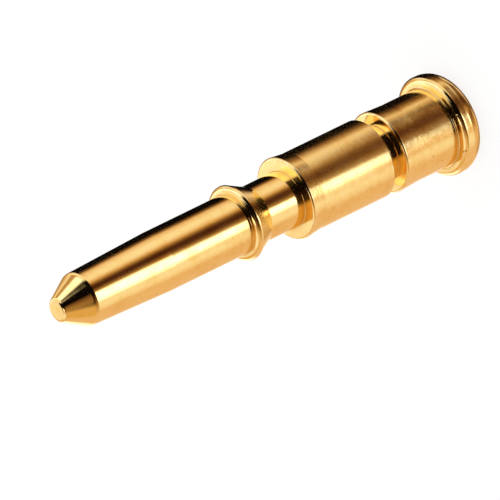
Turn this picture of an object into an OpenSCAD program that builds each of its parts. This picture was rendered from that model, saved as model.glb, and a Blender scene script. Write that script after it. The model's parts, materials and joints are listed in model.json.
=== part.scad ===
// Center pin of a coaxial cable plug, turned from one bar and gold plated.
// The axis is Z. The pin stands on its rear face at z = 0, with the mating tip up.

/* [Wire cup] */
// Bore that takes the bared center conductor of the cable
cup_d = 0.95; // [0.5:0.01:1.05]
// Depth of the cup, from the rear face to where the drill point begins
cup_depth = 3.4; // [2.6:0.05:4]
// Included angle of the drill point at the bottom of the cup
drill_angle = 118; // [90:1:140]
// Width of the bevel round the mouth of the cup
mouth_bevel = 0.05; // [0.01:0.01:0.1]

/* [Rear flange] */
// Diameter of the flange that stops the pin against its insulator
flange_d = 2.25; // [2.1:0.01:3]
// Length of the flange along the axis
flange_len = 0.6; // [0.57:0.01:1.2]
// Radius of the full rounding of its rear edge
flange_rear_round = 0.4; // [0.2:0.01:0.5]
// Radius of the rounding of its front edge
flange_front_round = 0.12; // [0.01:0.01:0.12]
// Radius of the fillet between its front face and the barrel
flange_fillet = 0.04; // [0.03:0.01:0.1]

/* [Barrel] */
// Diameter of the barrel
barrel_d = 1.77; // [1.5:0.01:1.8]
// Length of the rear land, between the flange and the groove
rear_land_len = 1.46; // [0.8:0.01:2.5]
// Width of the groove
groove_w = 0.31; // [0.15:0.01:0.6]
// Diameter at the bottom of the groove
groove_d = 1.26; // [1.15:0.01:1.6]
// Length of the front land, between the groove and the shoulder
front_land_len = 2.31; // [1.6:0.01:4]
// Diameter of the raised rim at the front end of the front land
front_rim_d = 1.86; // [1.82:0.01:2]
// Length over which the barrel rises to that rim
front_rim_len = 0.39; // [0.1:0.01:0.8]
// Diameter of the raised rim at the front end of the rear land
rear_rim_d = 1.83; // [1.81:0.01:2]
// Length over which the barrel rises to that rim
rear_rim_len = 0.56; // [0.1:0.01:0.7]

/* [Neck and collar] */
// Diameter of the neck between the barrel and the collar
neck_d = 1.265; // [1:0.005:1.5]
// Length of the neck
neck_len = 0.9; // [0.4:0.01:2.5]
// Length of the slope from the neck up to the collar's ring
collar_slope_len = 0.44; // [0.1:0.01:0.8]
// Diameter of the collar's ring
collar_d = 1.69; // [1.64:0.01:1.9]
// Length of the collar's ring
collar_len = 0.13; // [0.13:0.01:0.5]
// Radius of the rounding of the ring's front edge
collar_round = 0.12; // [0.02:0.01:0.12]

/* [Mating pin] */
// Diameter of the parallel length that the socket grips
pin_d = 1.35; // [1.25:0.01:1.4]
// Length of that parallel length
pin_len = 2.1; // [0.8:0.01:4]
// Length of the slow taper in front of it
taper_len = 2.13; // [0.5:0.01:4]
// Diameter at the front end of the slow taper
taper_d = 1.205; // [0.9:0.005:1.24]
// Length of the lead-in cone
cone_len = 0.62; // [0.3:0.01:1]
// Radius of the blend between the taper and the cone
cone_round = 0.2; // [0.02:0.01:0.4]
// Diameter at which the cone would meet the nose's flat face
nose_d = 0.5; // [0.24:0.01:0.8]
// Radius of the rounding between the cone and that face
nose_round = 0.1; // [0.02:0.01:0.3]

/* [Edges] */
// Radius of the outer edges, tumbled before plating
edge_round = 0.05; // [0.005:0.005:0.07]
// Radius that the turning tool leaves in the inner corners
corner_fillet = 0.02; // [0.01:0.005:0.03]

/* [Hidden] */
$fn = 96;
// Heights of the steps above the rear face
groove_z = flange_len + rear_land_len;
front_land_z = groove_z + groove_w;
neck_z = front_land_z + front_land_len;
slope_z = neck_z + neck_len;
ring_z = slope_z + collar_slope_len;
pin_z = ring_z + collar_len;
taper_z = pin_z + pin_len;
cone_z = taper_z + taper_len;
nose_z = cone_z + cone_len;
// Depth of the drill point, and how far a cut runs past the face that it opens
drill_point_len = cup_d / 2 / tan(drill_angle / 2);
cut_over = 0.1;
// Outer outline, anticlockwise from the rear face: radius from the axis, height and radius of the corner
OUTLINE = [
    [0, 0, 0],
    [flange_d / 2, 0, flange_rear_round],
    [flange_d / 2, flange_len, flange_front_round],
    [barrel_d / 2, flange_len, flange_fillet],
    [barrel_d / 2, groove_z - rear_rim_len, 0],
    [rear_rim_d / 2, groove_z, edge_round],
    [groove_d / 2, groove_z, corner_fillet],
    [groove_d / 2, front_land_z, corner_fillet],
    [barrel_d / 2, front_land_z, edge_round],
    [barrel_d / 2, neck_z - front_rim_len, 0],
    [front_rim_d / 2, neck_z, edge_round],
    [neck_d / 2, neck_z, corner_fillet],
    [neck_d / 2, slope_z, 0],
    [collar_d / 2, ring_z, 0],
    [collar_d / 2, pin_z, collar_round],
    [pin_d / 2, pin_z, corner_fillet],
    [pin_d / 2, taper_z, 0],
    [taper_d / 2, cone_z, cone_round],
    [nose_d / 2, nose_z, nose_round],
    [0, nose_z, 0]
];

// Point i of an outline, and the direction from one point to another
function at(outline, i) = [outline[i][0], outline[i][1]];
function towards(from, to) = (to - from) / norm(to - from);
// Half the angle between the two sides that meet at corner i
function half_angle(outline, i) = acos(
    towards(at(outline, i), at(outline, i - 1)) * towards(at(outline, i), at(outline, i + 1))
) / 2;
// Where the arc of corner i meets the side that runs to point j
function arc_end(outline, i, j) =
    at(outline, i) + towards(at(outline, i), at(outline, j)) * outline[i][2] / tan(half_angle(outline, i));
function chord_middle(outline, i) = (arc_end(outline, i, i - 1) + arc_end(outline, i, i + 1)) / 2;
function arc_center(outline, i) =
    at(outline, i)
    + towards(at(outline, i), chord_middle(outline, i)) * outline[i][2] / sin(half_angle(outline, i));
// Corner i stands out of the outline if the outline turns left there
function stands_out(outline, i) =
    cross(at(outline, i) - at(outline, i - 1), at(outline, i + 1) - at(outline, i)) > 0;

// Slice of a disc from start to end, with corner where the tangents at those two points meet
module disc_slice(center, start, corner, end) {
    intersection() {
        translate(center) circle(r = norm(start - center));
        polygon([for (p = [center, start, corner, end]) center + 2 * (p - center)]);
    }
}

module corner_slice(outline, i) {
    disc_slice(arc_center(outline, i), arc_end(outline, i, i - 1), at(outline, i), arc_end(outline, i, i + 1));
}

// An outline with its corners rounded by true arcs. Each rounded corner is first drawn as a notch on
// the arc's own side of its chord, and a slice of a disc then fills the notch or clears it.
module rounded_outline(outline) {
    corners = [for (i = [0 : len(outline) - 1]) if (outline[i][2] > 0) i];
    difference() {
        union() {
            polygon([
                for (i = [0 : len(outline) - 1])
                    each outline[i][2] > 0
                        ? [
                            arc_end(outline, i, i - 1),
                            (chord_middle(outline, i) + arc_center(outline, i)) / 2,
                            arc_end(outline, i, i + 1)
                        ]
                        : [at(outline, i)]
            ]);
            for (i = corners) if (stands_out(outline, i)) corner_slice(outline, i);
        }
        for (i = corners) if (!stands_out(outline, i)) corner_slice(outline, i);
    }
}

// Half section of the wire cup, with its mouth bevel and drill point
module cup_section() {
    r = cup_d / 2;
    polygon([
        [0, -cut_over], [r + mouth_bevel + cut_over, -cut_over], [r, mouth_bevel],
        [r, cup_depth], [0, cup_depth + drill_point_len]
    ]);
}

module center_pin() {
    color([0.89, 0.70, 0.36]) rotate_extrude() difference() {
        rounded_outline(OUTLINE);
        cup_section();
    }
}

center_pin();
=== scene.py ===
# Looks of the coaxial center pin: the turned body with its gold plate, on a pale floor in a small studio.
import json
import math

import bpy
from mathutils import Matrix, Vector


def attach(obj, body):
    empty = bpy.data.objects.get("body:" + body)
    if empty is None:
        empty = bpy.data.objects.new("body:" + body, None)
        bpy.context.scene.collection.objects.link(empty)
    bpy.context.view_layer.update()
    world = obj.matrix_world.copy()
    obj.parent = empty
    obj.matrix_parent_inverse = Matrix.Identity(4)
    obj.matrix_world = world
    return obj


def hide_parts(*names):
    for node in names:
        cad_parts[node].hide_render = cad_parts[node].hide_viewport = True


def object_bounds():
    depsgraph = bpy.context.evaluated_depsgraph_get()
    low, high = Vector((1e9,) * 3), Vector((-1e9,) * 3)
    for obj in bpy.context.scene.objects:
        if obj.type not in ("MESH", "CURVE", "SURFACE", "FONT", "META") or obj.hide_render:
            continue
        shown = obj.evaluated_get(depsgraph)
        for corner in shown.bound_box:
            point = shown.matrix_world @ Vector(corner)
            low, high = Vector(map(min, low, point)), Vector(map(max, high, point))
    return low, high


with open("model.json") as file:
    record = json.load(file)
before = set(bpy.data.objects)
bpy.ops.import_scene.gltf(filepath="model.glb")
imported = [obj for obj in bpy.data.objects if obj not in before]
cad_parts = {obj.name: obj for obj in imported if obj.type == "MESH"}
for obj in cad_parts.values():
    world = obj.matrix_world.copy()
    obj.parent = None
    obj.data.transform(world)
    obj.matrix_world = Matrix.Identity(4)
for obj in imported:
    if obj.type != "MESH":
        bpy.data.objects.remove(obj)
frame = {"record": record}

cad_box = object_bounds()

# Sizes of the pin in millimetres: what the frame says first, then the steps between
MM = 0.001
MOUNTS = {mount["name"]: mount for mount in frame["record"]["mounts"]}
FLANGE_R = cad_box[1].x / MM
TOP_Z = cad_box[1].z / MM
FLANGE_Z = MOUNTS["flange_face"]["pos_m"][2] / MM
PIN_R = MOUNTS["mating_pin"]["dims"]["r_mm"]
CUP_R = MOUNTS["wire_cup"]["dims"]["r_mm"]
MOUTH_BEVEL = 0.05
CUP_DEPTH = MOUNTS["wire_cup"]["dims"]["length_mm"] + MOUTH_BEVEL
DRILL_ANGLE = math.radians(118)
FLANGE_REAR_ROUND = 0.4
FLANGE_FRONT_ROUND = 0.12
FLANGE_FILLET = 0.04
BARREL_R = 0.885
GROOVE_R = 0.63
GROOVE_Z = 2.06
REAR_RIM_R = 0.915
REAR_RIM_LEN = 0.56
FRONT_LAND_Z = 2.37
FRONT_RIM_R = 0.93
FRONT_RIM_LEN = 0.39
NECK_R = 0.6325
NECK_Z = 4.68
SLOPE_Z = 5.58
COLLAR_R = 0.845
COLLAR_ROUND = 0.12
RING_Z = 6.02
PIN_Z = 6.15
TAPER_Z = 8.25
TAPER_R = 0.6025
CONE_Z = 10.38
CONE_ROUND = 0.2
NOSE_R = 0.25
NOSE_ROUND = 0.1
EDGE_ROUND = 0.05
CORNER_FILLET = 0.02

# Fineness of the mesh: steps round the axis, angle between the steps of an arc, length of a straight step
TURN_STEPS = 256
ARC_STEP = math.radians(9)
SIDE_STEP = 0.16
# Fewest steps of an arc, and a length in millimetres that counts as none
ARC_STEPS_MIN = 4
NO_LENGTH = 1e-6
# Edges of up to this radius wear in full, and corners of up to this radius take painted shade in full
SHARP_R = 0.06

# The photograph's view: how far the axis leans out of the picture plane, and how far it rises in that plane
VIEW_LEAN = math.radians(33)
VIEW_ROLL = math.radians(26.1)
# Millimetres across the picture, and a point on the axis with its place right of and above the middle
PICTURE_WIDTH = 10.465
AXIS_POINT_Z = 5.194
AXIS_POINT_RIGHT = 0.352
AXIS_POINT_UP = 0.876
LENS = 1500.0
SENSOR = 36.0
# Nearest distance that the camera sees, in metres
CLIP_START = 0.01

# Colours of the plate: as it is, in its deeper and paler clouds, worn on edges, and a dark brown for painted
# shade in corners and for the specks' residue
GOLD = (1.0, 0.766, 0.336)
GOLD_DEEP = (0.93, 0.64, 0.22)
GOLD_PALE = (1.0, 0.80, 0.40)
GOLD_WORN = (1.0, 0.84, 0.50)
RESIDUE_AND_SHADE = (0.42, 0.20, 0.06)
# Broad clouds and fine mottle of the plate: patterns in a millimetre, detail and roughness of the noise
CLOUD = {"Scale": 1.9, "Detail": 3.0, "Roughness": 0.55}
MOTTLE = {"Scale": 9.0, "Detail": 2.0, "Roughness": 0.6}
# Share of each in the plate's tone, and the golds at three places of the tone
CLOUD_SHARE = 0.6
MOTTLE_SHARE = 0.4
TONES = [(0.30, GOLD_DEEP), (0.52, GOLD), (0.72, GOLD_PALE)]
# Range of the mottle over which the edges pass from whole to worn, and share of painted shade in the corners
WEAR_SPAN = (0.35, 0.65)
CORNER_SHADE = 0.4
# Tool marks: the noise, how often it changes in a millimetre of the section, and how little round the axis
MARKS = {"Scale": 1.0, "Detail": 3.0, "Roughness": 0.6}
MARKS_ALONG = 16.0
MARKS_AROUND = 2.2
# Depth of the marks under the plate in millimetres, share of it on the smooth finish, and the mottle's depth
# and a speck's in depths of a mark
MARK_DEPTH = 0.0007
SMOOTH_MARKS = 0.3
MOTTLE_DEPTH = 1.5
SPECK_DEPTH = 2.0
# Range of the noise over which roughness changes, and roughness of the smooth and of the matt finish
NOISE_SPAN = (0.3, 0.7)
SMOOTH_ROUGHNESS = (0.08, 0.13)
MATT_ROUGHNESS = (0.14, 0.22)
# Upward part of the normal above which a face is not rubbed matt, and below which it is in full
RUBBED_SLOPE = (0.3, 0.05)
# Specks: cells in a millimetre, edge of a speck in its cell, share of cells without one, and the residue and
# the roughness that a speck adds
SPECK_CELLS = 5.5
SPECK_EDGE = (0.20, 0.09)
SPECK_FREE = 0.72
SPECK_RESIDUE = 0.75
SPECK_ROUGHNESS = 0.15

# The floor: metres across, millimetres below the pin, colour, glow, and share of it that no shadow darkens
FLOOR_SIZE = 2.0
FLOOR_GAP = 0.01
FLOOR_COLOUR = (0.9, 0.9, 0.9, 1.0)
FLOOR_GLOW = 1.05
FLOOR_SPARED = 0.8
WHITE = (1.0, 1.0, 1.0, 1.0)

# Colours of the studio by their part in it
BLACK = (0.004, 0.003, 0.003)
SHADE = (0.07, 0.022, 0.011)
BROWN = (0.20, 0.09, 0.035)
DUSK = (0.50, 0.29, 0.10)
EMBER = (0.75, 0.46, 0.17)
WARM = (0.84, 0.57, 0.36)
TAN = (0.94, 0.75, 0.57)
PALE = (1.0, 0.90, 0.76)
BRIGHT = (1.12, 1.08, 1.0)
GLOW = (1.5, 1.5, 1.5)
LAMP = (2.4, 2.4, 2.4)

# The studio is a round tent about the pin, so near that each stretch of the pin sees another belt of it.
# Radius of the tent and height of its middle, in millimetres
TENT_R = 25.0
TENT_Z = 5.0
# Stops that belts share: the dark far side and the warm side of what the barrel and the stem show, and the
# dark side of what the roundings show
BARREL_FAR = [(-180, GLOW), (-165, BLACK), (-116, BLACK), (-100, BROWN), (-90, DUSK)]
BARREL_WARM = [(84, WARM), (150, WARM), (180, GLOW)]
STEM_FAR = [
    (-180, GLOW), (-165, BLACK), (-113, BLACK), (-102, BROWN), (-91, WARM), (-81, TAN), (-70, PALE),
]
STEM_WARM = [(60, PALE), (71, TAN), (82, WARM), (150, WARM), (180, GLOW)]
BEAD_DARK = [(-62, PALE), (-52, BLACK), (4, BLACK), (18, SHADE), (34, BROWN), (52, DUSK), (84, WARM)]
# Belts of the tent from underfoot to overhead. Each begins between two heights, which are the upward part of
# the direction from the tent's middle, and has colours at degrees from the camera's side, turning to its left
STUDIO = [
    # Underfoot
    (-1.0, -1.0, [
        (-180, BROWN), (-161, BLACK), (-145, BROWN), (-130, WARM), (-113, PALE), (-100, TAN), (-90, DUSK),
        (-79, BROWN), (-62, SHADE), (-36, SHADE), (-15, BROWN), (30, BROWN), (60, DUSK), (100, WARM),
        (140, WARM), (180, BROWN),
    ]),
    # Low down, which the flange's rear rounding shows
    (-0.96, -0.92, [
        (-180, BROWN), (-150, SHADE), (-132, SHADE), (-118, TAN), (-106, TAN), (-96, SHADE), (-72, BROWN),
        (-54, BROWN), (-40, SHADE), (-26, SHADE), (-14, BROWN), (-6, DUSK), (2, DUSK), (10, BROWN),
        (26, BROWN), (44, DUSK), (66, WARM), (84, WARM), (150, DUSK), (180, BROWN),
    ]),
    # Shown by the slopes to the rims
    (-0.82, -0.78, [
        *BARREL_FAR, (-79, TAN), (-62, PALE), (-50, TAN), (-40, DUSK), (-28, BROWN), (-14, BROWN), (3, DUSK),
        (9, LAMP), (28, LAMP), (38, TAN), (60, PALE), (72, TAN), *BARREL_WARM,
    ]),
    # Shown by the rear land
    (-0.716, -0.708, [
        *BARREL_FAR, (-80, TAN), (-70, DUSK), (-60, SHADE), (-48, BROWN), (-30, SHADE), (-18, SHADE),
        (-6, BROWN), (15, BROWN), (27, DUSK), (34, WARM), (42, WARM), (52, PALE), (62, PALE), (74, TAN),
        *BARREL_WARM,
    ]),
    # Shown by the front land
    (-0.628, -0.606, [
        *BARREL_FAR, (-79, TAN), (-68, TAN), (-52, DUSK), (-38, BROWN), (-16, BROWN), (5, DUSK), (11, LAMP),
        (22, LAMP), (34, TAN), (60, PALE), (72, TAN), *BARREL_WARM,
    ]),
    # Shown by the neck and the parallel length
    (-0.57, -0.54, [
        *STEM_FAR, (-56, PALE), (-45, WARM), (-38, DUSK), (-31, BROWN), (-23, SHADE), (-12, SHADE),
        (-4, BROWN), (5, DUSK), (12, LAMP), (26, LAMP), (39, PALE), *STEM_WARM,
    ]),
    # Shown by the taper
    (-0.50, -0.32, [
        *STEM_FAR, (-54, PALE), (-44, WARM), (-37, DUSK), (-30, BROWN), (-23, SHADE), (-16, SHADE),
        (-8, BROWN), (-1, DUSK), (8, LAMP), (29, LAMP), (44, PALE), *STEM_WARM,
    ]),
    # About level, which the front roundings of collar and flange show
    (-0.28, -0.19, [
        (-180, WARM), (-168, DUSK), (-150, DUSK), (-138, WARM), (-125, PALE), *BEAD_DARK, (128, WARM),
        (144, GLOW), (158, GLOW), (168, WARM), (180, WARM),
    ]),
    # Higher up, which the upper side of the lead-in cone shows too
    (0.18, 0.24, [
        (-180, WARM), (-138, WARM), (-116, DUSK), (-98, DUSK), (-84, PALE), *BEAD_DARK, (180, WARM),
    ]),
    # Shown by the step faces, and by the inner corners, which mirror it twice
    (0.34, 0.40, [
        (-180, BRIGHT), (-170, GLOW), (-68, GLOW), (-56, BLACK), (38, BLACK), (56, EMBER), (172, EMBER),
        (180, BRIGHT),
    ]),
    # Shown by the lead-in cone
    (0.56, 0.59, [
        (-180, PALE), (-50, PALE), (-36, BLACK), (-4, BLACK), (8, BROWN), (40, DUSK), (70, WARM), (150, WARM),
        (180, PALE),
    ]),
    # Shown by the nose and by the roundings of collar and flange
    (0.68, 0.74, [
        (-180, PALE), (-66, PALE), (-54, BLACK), (18, BLACK), (36, BROWN), (58, DUSK), (80, WARM), (96, PALE),
        (180, PALE),
    ]),
    # Overhead, which the collar's rear slope shows by way of the shoulder
    (0.915, 0.945, [
        (-180, SHADE), (-150, BLACK), (14, BLACK), (26, BROWN), (36, LAMP), (56, LAMP), (70, DUSK),
        (86, PALE), (116, PALE), (150, BROWN), (180, SHADE),
    ]),
]


def node(tree, kind, settings=None, **inputs):
    """A new node with its settings and inputs; an input is a value or the socket that feeds it."""
    made = tree.nodes.new(kind)
    for name, value in (settings or {}).items():
        setattr(made, name, value)
    for name, value in inputs.items():
        socket = made.inputs[int(name[1:])] if name[0] == "_" else made.inputs[name.replace("_", " ")]
        if isinstance(value, bpy.types.NodeSocket):
            tree.links.new(value, socket)
        else:
            socket.default_value = value
    return made


def math_node(tree, operation, first, second=0.0, third=0.0):
    return node(tree, "ShaderNodeMath", {"operation": operation}, _0=first, _1=second, _2=third).outputs[0]


def vector_node(tree, operation, first, **inputs):
    return node(tree, "ShaderNodeVectorMath", {"operation": operation}, _0=first, **inputs).outputs


def ramp(tree, fac, stops):
    """A colour ramp with stops of (position, colour)."""
    made = node(tree, "ShaderNodeValToRGB", Fac=fac)
    elements = made.color_ramp.elements
    while len(elements) < len(stops):
        elements.new(0.5)
    for element, (position, colour) in zip(elements, stops):
        element.position = position
        element.color = (*colour, 1.0)
    return made.outputs["Color"]


def noise(tree, vector, kind):
    return node(tree, "ShaderNodeTexNoise", Vector=vector, **kind).outputs[0]


def spread(tree, value, span):
    """The noise's range laid over a span of values."""
    return node(tree, "ShaderNodeMapRange", Value=value, From_Min=NOISE_SPAN[0], From_Max=NOISE_SPAN[1],
                To_Min=span[0], To_Max=span[1]).outputs[0]


def fade(tree, value, start, end):
    """Nought at the start and one at the end, smooth between."""
    return node(tree, "ShaderNodeMapRange", {"interpolation_type": "SMOOTHSTEP"}, Value=value, From_Min=start,
                From_Max=end).outputs[0]


def blend(tree, fac, first, second):
    second = second if isinstance(second, bpy.types.NodeSocket) else (*second, 1.0)
    return node(tree, "ShaderNodeMix", {"data_type": "RGBA"}, _0=fac, _6=first, _7=second).outputs[2]


def side_of(start, end):
    """Outward normal of a straight side of the outline, which has the metal on its left."""
    along = (end - start).normalized()
    return Vector((along.y, -along.x))


def straight_steps(start, end):
    steps = max(1, math.ceil((end - start).length / SIDE_STEP))
    normal = side_of(start, end)
    return [(start.lerp(end, k / steps), normal) for k in range(steps + 1)]


def arc_steps(before, corner, after, radius):
    """How sharply the outline bends out (or in, below nought), and the arc's points and outward normals."""
    to_before = (before - corner).normalized()
    to_after = (after - corner).normalized()
    half = to_before.angle(to_after) / 2
    centre = corner + (to_before + to_after).normalized() * radius / math.sin(half)
    first = corner + to_before * radius / math.tan(half) - centre
    turn = math.pi - 2 * half
    bulges = 1 if to_before.cross(to_after) < 0 else -1
    steps = max(ARC_STEPS_MIN, math.ceil(turn / ARC_STEP))
    arms = [Matrix.Rotation(bulges * turn * k / steps, 2) @ first for k in range(steps + 1)]
    return bulges * min(1.0, SHARP_R / radius), [(centre + arm, bulges * arm.normalized()) for arm in arms]


def stretches(outline):
    """The outline as straight sides and arcs: how each bends, and its list of (point, outward normal)."""
    points = [Vector(corner[:2]) for corner in outline]
    made = []
    start = points[0]
    for k in range(1, len(points)):
        end, arc = points[k], None
        if outline[k][2] > 0:
            arc = arc_steps(points[k - 1], points[k], points[k + 1], outline[k][2])
            end = arc[1][0][0]
        if (end - start).length > NO_LENGTH:
            made.append((0.0, straight_steps(start, end)))
        if arc:
            made.append(arc)
            end = arc[1][-1][0]
        start = end
    return made


def pin_outline():
    """Corners of the pin's section from the bottom of the wire cup to the nose: radius, height, rounding."""
    drill_point = CUP_R / math.tan(DRILL_ANGLE / 2)
    return [
        (0, CUP_DEPTH + drill_point, 0),
        (CUP_R, CUP_DEPTH, 0),
        (CUP_R, MOUTH_BEVEL, 0),
        (CUP_R + MOUTH_BEVEL, 0, 0),
        (FLANGE_R, 0, FLANGE_REAR_ROUND),
        (FLANGE_R, FLANGE_Z, FLANGE_FRONT_ROUND),
        (BARREL_R, FLANGE_Z, FLANGE_FILLET),
        (BARREL_R, GROOVE_Z - REAR_RIM_LEN, 0),
        (REAR_RIM_R, GROOVE_Z, EDGE_ROUND),
        (GROOVE_R, GROOVE_Z, CORNER_FILLET),
        (GROOVE_R, FRONT_LAND_Z, CORNER_FILLET),
        (BARREL_R, FRONT_LAND_Z, EDGE_ROUND),
        (BARREL_R, NECK_Z - FRONT_RIM_LEN, 0),
        (FRONT_RIM_R, NECK_Z, EDGE_ROUND),
        (NECK_R, NECK_Z, CORNER_FILLET),
        (NECK_R, SLOPE_Z, 0),
        (COLLAR_R, RING_Z, 0),
        (COLLAR_R, PIN_Z, COLLAR_ROUND),
        (PIN_R, PIN_Z, CORNER_FILLET),
        (PIN_R, TAPER_Z, 0),
        (TAPER_R, CONE_Z, CONE_ROUND),
        (NOSE_R, TOP_Z, NOSE_ROUND),
        (0, TOP_Z, 0),
    ]


def turned_mesh(name, outline):
    """The outline turned about Z, with the exact normal of the section at every corner of every face."""
    # The bend of an arc counts in full at its middle and by half at its ends
    bands, bends, before = [], [], 0.0
    for bend, steps in stretches(outline):
        swell = [0.5 + 0.5 * math.sin(math.pi * k / (len(steps) - 1)) for k in range(len(steps) - 1)]
        bends += [bend * share for share in swell] if bend else [before / 2] + [0.0] * (len(steps) - 2)
        bands += zip(steps, steps[1:])
        before = bend
    rings = [band[0][0] for band in bands] + [bands[-1][1][0]]
    turns = [2 * math.pi * j / TURN_STEPS for j in range(TURN_STEPS)]
    vertices, ids, worn, corner_shade = [], [], [], []
    for point, bend in zip(rings, bends + [0.0]):
        around = turns if point.x > NO_LENGTH else turns[:1]
        ids.append([len(vertices) + j % len(around) for j in range(TURN_STEPS)])
        vertices += [Vector((point.x * math.cos(t), point.x * math.sin(t), point.y)) * MM for t in around]
        worn += [max(bend, 0.0)] * len(around)
        # Inward bends, which the plate darkens as painted shade in its corners
        corner_shade += [max(-bend, 0.0)] * len(around)
    faces, normals = [], []
    for k, ((_, first), (_, second)) in enumerate(bands):
        for j in range(TURN_STEPS):
            after = (j + 1) % TURN_STEPS
            face, shades = [], []
            corners = ((k, j, first), (k, after, first), (k + 1, after, second), (k + 1, j, second))
            for ring, step, normal in corners:
                if ids[ring][step] in face:
                    continue
                t = turns[step]
                face.append(ids[ring][step])
                shades.append(Vector((normal.x * math.cos(t), normal.x * math.sin(t), normal.y)))
            faces.append(face)
            normals += shades
    mesh = bpy.data.meshes.new(name)
    mesh.from_pydata(vertices, [], faces)
    mesh.shade_smooth()
    mesh.normals_split_custom_set(normals)
    for attribute, values in (("worn", worn), ("corner_shade", corner_shade)):
        mesh.attributes.new(attribute, "FLOAT", "POINT").data.foreach_set("value", values)
    return mesh


def gold_plate():
    """Bright gold plate over turned brass: smooth on the mating pin, more matt and marked to the rear."""
    material = bpy.data.materials.new("gold_plate")
    material.use_nodes = True
    tree = material.node_tree
    shader = tree.nodes["Principled BSDF"]
    shader.inputs["Metallic"].default_value = 1.0

    # Millimetres from the rear face, distance from the axis and direction round it
    place = vector_node(tree, "SCALE", node(tree, "ShaderNodeTexCoord").outputs["Object"], Scale=1 / MM)[0]
    parts = node(tree, "ShaderNodeSeparateXYZ", Vector=place).outputs
    flat = node(tree, "ShaderNodeCombineXYZ", X=parts["X"], Y=parts["Y"]).outputs[0]
    radius = vector_node(tree, "LENGTH", flat)["Value"]
    around = vector_node(tree, "NORMALIZE", flat)[0]
    along = math_node(tree, "ADD", parts["Z"], radius)

    # Tool marks run round the axis, so they are short along the section and long round it
    stretched = vector_node(tree, "SCALE", around, Scale=MARKS_AROUND)[0]
    section = node(tree, "ShaderNodeCombineXYZ", Z=math_node(tree, "MULTIPLY", along, MARKS_ALONG)).outputs[0]
    grain = noise(tree, vector_node(tree, "ADD", stretched, _1=section)[0], MARKS)
    cloud = noise(tree, place, CLOUD)
    mottle = noise(tree, place, MOTTLE)

    # Share of the matt finish, which rubbing leaves on what stands out and not on the faces between
    normal = node(tree, "ShaderNodeNewGeometry").outputs["Normal"]
    slope = node(tree, "ShaderNodeSeparateXYZ", Vector=normal).outputs["Z"]
    outer = fade(tree, radius, NECK_R, BARREL_R)
    rubbed = math_node(tree, "MULTIPLY", outer, fade(tree, slope, *RUBBED_SLOPE))

    fine = math_node(tree, "MULTIPLY", mottle, MOTTLE_SHARE)
    tone = math_node(tree, "MULTIPLY_ADD", cloud, CLOUD_SHARE, fine)
    colour = ramp(tree, tone, TONES)
    worn = node(tree, "ShaderNodeAttribute", {"attribute_name": "worn"}).outputs["Fac"]
    corner_shade = node(tree, "ShaderNodeAttribute", {"attribute_name": "corner_shade"}).outputs["Fac"]
    patchy = fade(tree, mottle, *WEAR_SPAN)
    colour = blend(tree, math_node(tree, "MULTIPLY", worn, patchy), colour, GOLD_WORN)
    # Painted shade: the inner corners darkened towards a dark brown
    colour = blend(tree, math_node(tree, "MULTIPLY", corner_shade, CORNER_SHADE), colour, RESIDUE_AND_SHADE)

    # Specks that handling leaves, on the rear land and the flange only
    cells = node(tree, "ShaderNodeTexVoronoi", Vector=place, Scale=SPECK_CELLS).outputs
    core = fade(tree, cells["Distance"], *SPECK_EDGE)
    lot = node(tree, "ShaderNodeSeparateColor", Color=cells["Color"]).outputs[0]
    chosen = math_node(tree, "GREATER_THAN", lot, SPECK_FREE)
    speck = math_node(tree, "MULTIPLY", core, chosen)
    speck = math_node(tree, "MULTIPLY", speck, fade(tree, parts["Z"], GROOVE_Z, FLANGE_Z))
    colour = blend(tree, math_node(tree, "MULTIPLY", speck, SPECK_RESIDUE), colour, RESIDUE_AND_SHADE)
    tree.links.new(colour, shader.inputs["Base Color"])

    smooth = spread(tree, cloud, SMOOTH_ROUGHNESS)
    matt = spread(tree, tone, MATT_ROUGHNESS)
    rough = node(tree, "ShaderNodeMix", _0=rubbed, _2=smooth, _3=matt).outputs[0]
    rough = math_node(tree, "MULTIPLY_ADD", speck, SPECK_ROUGHNESS, rough)
    tree.links.new(rough, shader.inputs["Roughness"])

    depth = math_node(tree, "MULTIPLY_ADD", rubbed, 1 - SMOOTH_MARKS, SMOOTH_MARKS)
    height = math_node(tree, "MULTIPLY", math_node(tree, "MULTIPLY_ADD", mottle, MOTTLE_DEPTH, grain), depth)
    height = math_node(tree, "MULTIPLY_ADD", speck, -SPECK_DEPTH, height)
    bump = node(tree, "ShaderNodeBump", Strength=1.0, Distance=MARK_DEPTH * MM, Height=height).outputs[0]
    tree.links.new(bump, shader.inputs["Normal"])
    return material


def studio_tent():
    """A tent that only the metal's gloss sees, with a lamp, a dark side and a warm side."""
    bpy.ops.mesh.primitive_uv_sphere_add(radius=TENT_R * MM, location=(0, 0, TENT_Z * MM))
    tent = bpy.context.object
    tent.name = "tent"
    tent.visible_camera = tent.visible_diffuse = tent.visible_transmission = tent.visible_shadow = False
    material = bpy.data.materials.new("tent")
    material.use_nodes = True
    material.cycles.emission_sampling = "NONE"
    tree = material.node_tree
    tree.nodes.remove(tree.nodes["Principled BSDF"])
    place = node(tree, "ShaderNodeTexCoord").outputs["Object"]
    direction = vector_node(tree, "NORMALIZE", place)[0]
    parts = node(tree, "ShaderNodeSeparateXYZ", Vector=direction).outputs
    left = math_node(tree, "MULTIPLY", parts["X"], -1.0)
    near = math_node(tree, "MULTIPLY", parts["Y"], -1.0)
    turn = math_node(tree, "ARCTAN2", left, near)
    share = math_node(tree, "MULTIPLY_ADD", turn, 1 / (2 * math.pi), 0.5)
    studio = None
    for low, high, stops in STUDIO:
        belt = ramp(tree, share, [((degrees + 180) / 360, colour) for degrees, colour in stops])
        if studio:
            belt = blend(tree, fade(tree, parts["Z"], low, high), studio, belt)
        studio = belt
    glow = node(tree, "ShaderNodeEmission", Color=studio, Strength=1.0).outputs[0]
    tree.links.new(glow, tree.nodes["Material Output"].inputs["Surface"])
    tent.data.materials.append(material)


def white_world():
    world = bpy.data.worlds.new("white")
    bpy.context.scene.world = world
    world.use_nodes = True
    world.node_tree.nodes["Background"].inputs["Color"].default_value = WHITE


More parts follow.
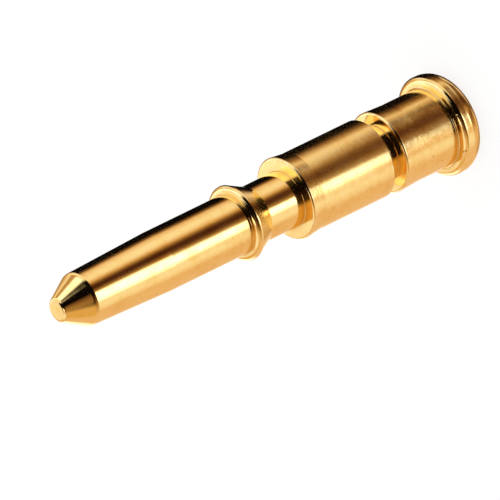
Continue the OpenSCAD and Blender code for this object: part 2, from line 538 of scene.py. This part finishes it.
def floor():
    """A pale floor, white to the camera but for the pin's soft shadow, and clear from below."""
    bpy.ops.mesh.primitive_plane_add(size=FLOOR_SIZE, location=(0, 0, -FLOOR_GAP * MM))
    plane = bpy.context.object
    plane.name = "floor"
    plane.visible_glossy = False
    material = bpy.data.materials.new("floor")
    material.use_nodes = True
    tree = material.node_tree
    tree.nodes.remove(tree.nodes["Principled BSDF"])
    glow = node(tree, "ShaderNodeEmission", Color=WHITE, Strength=FLOOR_GLOW).outputs[0]
    matt = node(tree, "ShaderNodeBsdfDiffuse", Color=FLOOR_COLOUR).outputs[0]
    path = node(tree, "ShaderNodeLightPath").outputs
    seen = math_node(tree, "ADD", path["Is Camera Ray"], path["Is Transmission Ray"])
    spared = math_node(tree, "MULTIPLY", seen, FLOOR_SPARED)
    mixed = node(tree, "ShaderNodeMixShader", _0=spared, _1=matt, _2=glow).outputs[0]
    clear = node(tree, "ShaderNodeBsdfTransparent").outputs[0]
    behind = node(tree, "ShaderNodeNewGeometry").outputs["Backfacing"]
    mixed = node(tree, "ShaderNodeMixShader", _0=behind, _1=mixed, _2=clear).outputs[0]
    tree.links.new(mixed, tree.nodes["Material Output"].inputs["Surface"])
    plane.data.materials.append(material)


def camera():
    """The camera at the photograph's angle, far off with a long lens, rolled so that the pin lies alike."""
    along = Vector((0, -math.sin(VIEW_LEAN), -math.cos(VIEW_LEAN)))
    across = Vector((-1, 0, 0))
    back = Vector((0, -math.cos(VIEW_LEAN), math.sin(VIEW_LEAN)))
    right = along * math.cos(VIEW_ROLL) + across * math.sin(VIEW_ROLL)
    up = along * math.sin(VIEW_ROLL) - across * math.cos(VIEW_ROLL)
    middle = Vector((0, 0, AXIS_POINT_Z)) - right * AXIS_POINT_RIGHT - up * AXIS_POINT_UP
    place = (middle + back * PICTURE_WIDTH * LENS / SENSOR) * MM
    made = bpy.data.objects.new("camera", bpy.data.cameras.new("camera"))
    bpy.context.scene.collection.objects.link(made)
    made.data.lens = LENS
    made.data.sensor_width = SENSOR
    made.data.clip_start = CLIP_START
    made.matrix_world = Matrix.Translation(place) @ Matrix((right, up, back)).transposed().to_4x4()
    bpy.context.scene.camera = made


pin = bpy.data.objects.new("turned_pin", turned_mesh("turned_pin", pin_outline()))
bpy.context.scene.collection.objects.link(pin)
pin.data.materials.append(gold_plate())
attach(pin, "root")
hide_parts("center_pin")

studio_tent()
white_world()
floor()
camera()
bpy.context.scene.view_settings.view_transform = "Standard"
